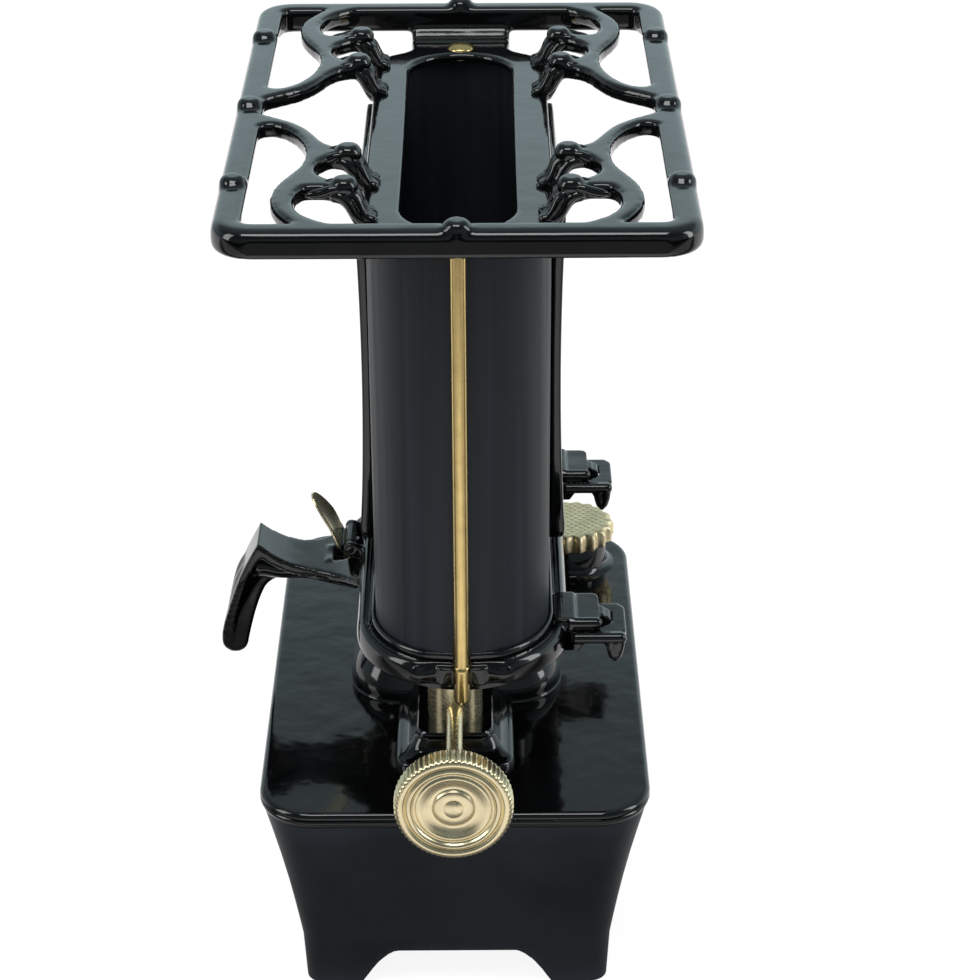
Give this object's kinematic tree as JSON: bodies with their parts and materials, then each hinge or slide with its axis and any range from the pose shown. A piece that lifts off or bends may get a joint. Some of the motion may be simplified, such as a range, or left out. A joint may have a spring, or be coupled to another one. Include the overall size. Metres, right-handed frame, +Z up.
{
  "type": "cast-iron paraffin wick stove",
  "caption": "Cast-iron tabletop paraffin stove with flat-wick burner, brass wick knob, tilting chimney and scrolled pan grate.",
  "frame": {"origin": "floor under the middle of the overall footprint", "axes": "+Z up, +X to the hinge side, +Y away from the wick knob"},
  "size_m": [0.1704, 0.2442, 0.315],
  "materials": {
    "iron_gloss": "gloss enamel",
    "iron_satin": "satin enamel",
    "sheet_blue_black": "semi-matt",
    "brass": "polished",
    "cotton": "woven",
    "seal": "matt"
  },
  "bodies": {
    "stove_base": {"tank_shell": "iron_satin", "tank_top": "iron_gloss", "burner_deck": "iron_gloss", "hinge_bracket_front": "iron_gloss", "hinge_bracket_rear": "iron_gloss", "wick_tube": "brass", "flame_spreader": "brass", "filler_neck": "brass"},
    "raiser": {"knob": "brass", "knob_rivet": "brass", "wick_shaft": "brass", "feed_wheel_front": "brass", "feed_wheel_middle": "brass", "feed_wheel_rear": "brass"},
    "wick_body": {"wick": "cotton"},
    "cap_seal": {"filler_gasket": "seal"},
    "cap": {"filler_cap": "brass"},
    "chimney": {"gallery": "iron_gloss", "handle": "iron_gloss", "chimney_tube": "sheet_blue_black", "side_strut_left": "iron_gloss", "side_strut_right": "iron_gloss", "grate": "iron_gloss", "tie_rod_front": "brass", "tie_rod_rear": "brass", "rod_nut_front": "brass", "rod_nut_rear": "brass", "hinge_leaf_front": "iron_gloss", "hinge_leaf_rear": "iron_gloss", "latch_pin": "iron_gloss"},
    "latch": {"latch_leaf": "brass"}
  },
  "joints": [
    {"name": "wick_lift", "type": "slide", "parent": "stove_base", "child": "wick_body", "axis": [0, 0, 1], "range_m": [0, 0.014]},
    {"name": "knob_turn", "type": "hinge", "parent": "stove_base", "child": "raiser", "pos_m": [0.00475, 0.0049, 0.1028], "axis": [0, -1, 0], "range_deg": [0, 152]},
    {"name": "cap_rise", "type": "slide", "parent": "stove_base", "child": "cap_seal", "axis": [0, 0, 1], "range_m": [0, 0.0075]},
    {"name": "cap_turn", "type": "hinge", "parent": "cap_seal", "child": "cap", "pos_m": [0.05175, 0.0839, 0.101], "axis": [0, 0, 1], "range_deg": [0, 1080]},
    {"name": "chimney_tilt", "type": "hinge", "parent": "stove_base", "child": "chimney", "pos_m": [0.05925, 0.0049, 0.139], "axis": [0, 1, 0], "range_deg": [0, 90]},
    {"name": "latch_press", "type": "hinge", "parent": "chimney", "child": "latch", "pos_m": [-0.03475, 0.0049, 0.1405], "axis": [0, 1, 0], "range_deg": [0, 15], "stiffness_Nm_per_rad": 0.02, "springref_deg": -11.46}
  ],
  "couplings": [
    {"joint": "knob_turn", "follows": "wick_lift", "rad_per_m": 188.6},
    {"joint": "cap_turn", "follows": "cap_rise", "rad_per_m": 2513}
  ]
}
